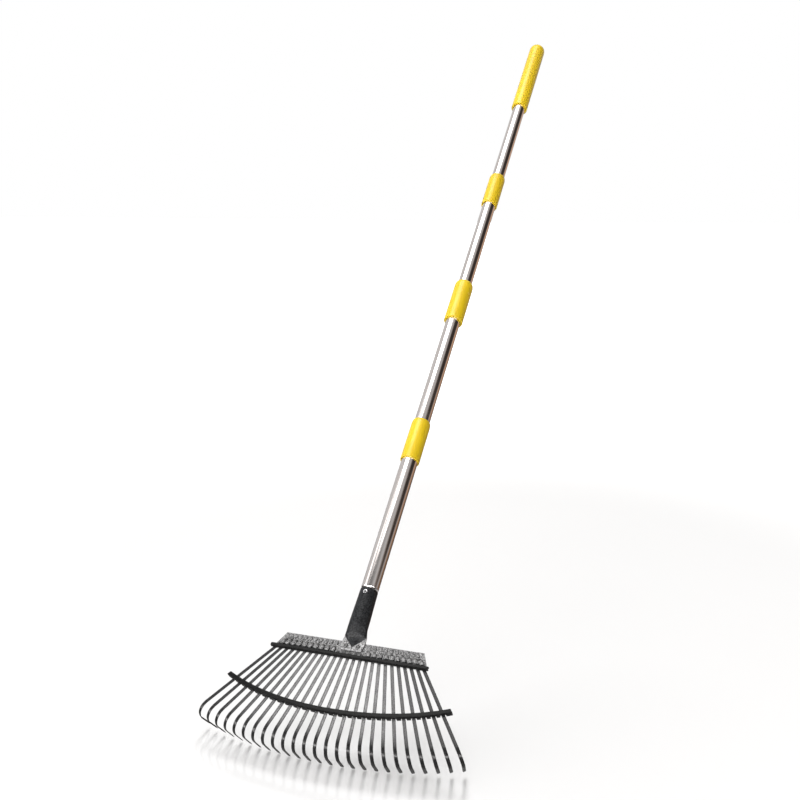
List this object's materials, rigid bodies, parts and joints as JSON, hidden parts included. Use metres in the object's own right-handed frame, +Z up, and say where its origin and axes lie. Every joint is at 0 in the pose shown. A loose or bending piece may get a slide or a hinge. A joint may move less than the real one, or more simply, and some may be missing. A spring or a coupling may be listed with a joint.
{
  "type": "leaf rake",
  "caption": "Leaf rake with a fan of hooked flat spring tines, a curved spreader and a telescoping steel pole with twist-lock collars and a round-ended grip.",
  "frame": {"origin": "on the ground plane under the middle of the rake's length and width, with the tine tips on z = 0", "axes": "+Z up; +Y from the tines towards the grip, along the ground under the leaning pole; +X across the head, to the right for someone who looks along +Y; X = 0 is the plane of symmetry. The head's plane rises 31.9 degrees and the pole 42.1 degrees towards +Y."},
  "size_m": [0.397, 1.1838, 1.0752],
  "materials": {
    "black_steel": "black enamel over stamped and rolled spring steel, satin",
    "black_socket": "black wrinkle paint, finely speckled",
    "stainless": "polished thin-walled stainless tube",
    "yellow_plastic": "glossy moulded yellow plastic",
    "dark_plastic": "dark moulded plastic, matte",
    "screw_steel": "bright zinc-plated cross-recess screw"
  },
  "bodies": {
    "grip_section": {"grip": "yellow_plastic", "tube_4": "stainless", "end_plug_4": "dark_plastic"},
    "section_3": {"tube_3": "stainless", "end_plug_3": "dark_plastic", "collet_3": "dark_plastic"},
    "section_2": {"tube_2": "stainless", "end_plug_2": "dark_plastic", "collet_2": "dark_plastic"},
    "head": {"tube_1": "stainless", "collet_1": "dark_plastic", "socket": "black_socket", "socket_screw": "screw_steel", "head_plate": "black_steel", "rivet_1": "black_steel", "rivet_2": "black_steel", "clamp_channel": "black_steel", "spreader_channel": "black_steel", "tine_01": "black_steel", "tine_02": "black_steel", "tine_03": "black_steel", "tine_04": "black_steel", "tine_05": "black_steel", "tine_06": "black_steel", "tine_07": "black_steel", "tine_08": "black_steel", "tine_09": "black_steel", "tine_10": "black_steel", "tine_11": "black_steel", "tine_12": "black_steel", "tine_13": "black_steel", "tine_14": "black_steel", "tine_15": "black_steel", "tine_16": "black_steel", "tine_17": "black_steel", "tine_18": "black_steel", "tine_19": "black_steel", "tine_20": "black_steel", "tine_21": "black_steel", "tine_22": "black_steel", "tine_23": "black_steel", "tine_24": "black_steel", "tine_25": "black_steel"},
    "collar_ring_3": {"collar_3": "yellow_plastic"},
    "collar_ring_2": {"collar_2": "yellow_plastic"},
    "collar_ring_1": {"collar_1": "yellow_plastic"}
  },
  "joints": [
    {"name": "upper_slide", "type": "slide", "parent": "grip_section", "child": "section_3", "axis": [0, 0.742, 0.6704], "range_m": [0, 0.205]},
    {"name": "middle_slide", "type": "slide", "parent": "section_3", "child": "section_2", "axis": [0, 0.742, 0.6704], "range_m": [0, 0.199]},
    {"name": "lower_slide", "type": "slide", "parent": "section_2", "child": "head", "axis": [0, 0.742, 0.6704], "range_m": [0, 0.214]},
    {"name": "upper_twist", "type": "hinge", "parent": "section_3", "child": "collar_ring_3", "pos_m": [0, 0.24819, 0.76303], "axis": [0, 0.742, 0.6704], "range_deg": [0, 120]},
    {"name": "middle_twist", "type": "hinge", "parent": "section_2", "child": "collar_ring_2", "pos_m": [0, 0.03302, 0.56861], "axis": [0, 0.742, 0.6704], "range_deg": [0, 120]},
    {"name": "lower_twist", "type": "hinge", "parent": "head", "child": "collar_ring_1", "pos_m": [0, -0.19269, 0.36466], "axis": [0, 0.742, 0.6704], "range_deg": [0, 120]}
  ]
}
